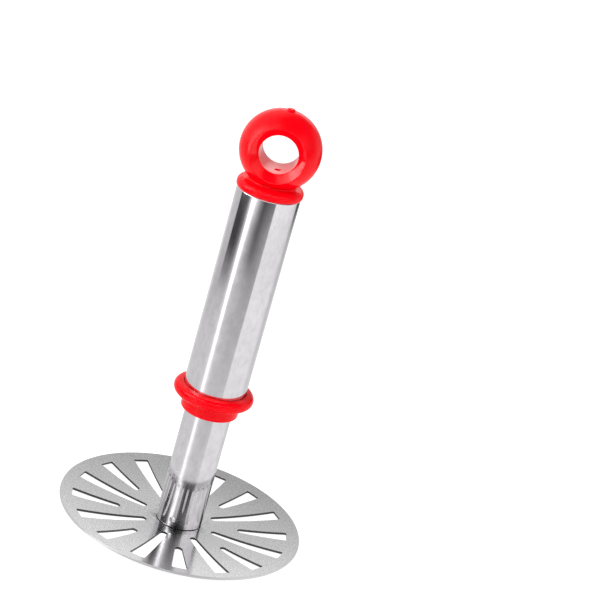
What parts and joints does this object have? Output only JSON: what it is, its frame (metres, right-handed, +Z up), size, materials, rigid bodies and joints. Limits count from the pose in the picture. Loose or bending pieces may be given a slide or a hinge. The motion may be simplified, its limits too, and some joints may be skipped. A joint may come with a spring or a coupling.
{
  "type": "potato masher",
  "caption": "Upright potato masher: slotted dished steel disc, polished steel stem and wider grip tube, plastic collar and ball cap with a hanging hole.",
  "frame": {"origin": "on the masher's axis, in the flat centre of the disc's underside, which is the plane it stands on", "axes": "+Z up along the stem towards the ball; Y along the hanging hole; X across it"},
  "size_m": [0.1, 0.1, 0.1805],
  "materials": {
    "disc_steel": "semi-polished stainless sheet with a fine grain",
    "zinc_steel": "plain bright zinc-plated steel",
    "polished_steel": "mirror-polished stainless tube",
    "red_plastic": "glossy moulded plastic with a slight sheen"
  },
  "bodies": {
    "root": {"mashing_disc": "disc_steel", "disc_screw": "zinc_steel", "foot_plug": "zinc_steel", "stem_tube": "polished_steel", "collar": "red_plastic", "grip_tube": "polished_steel", "ball_cap": "red_plastic"}
  },
  "joints": []
}
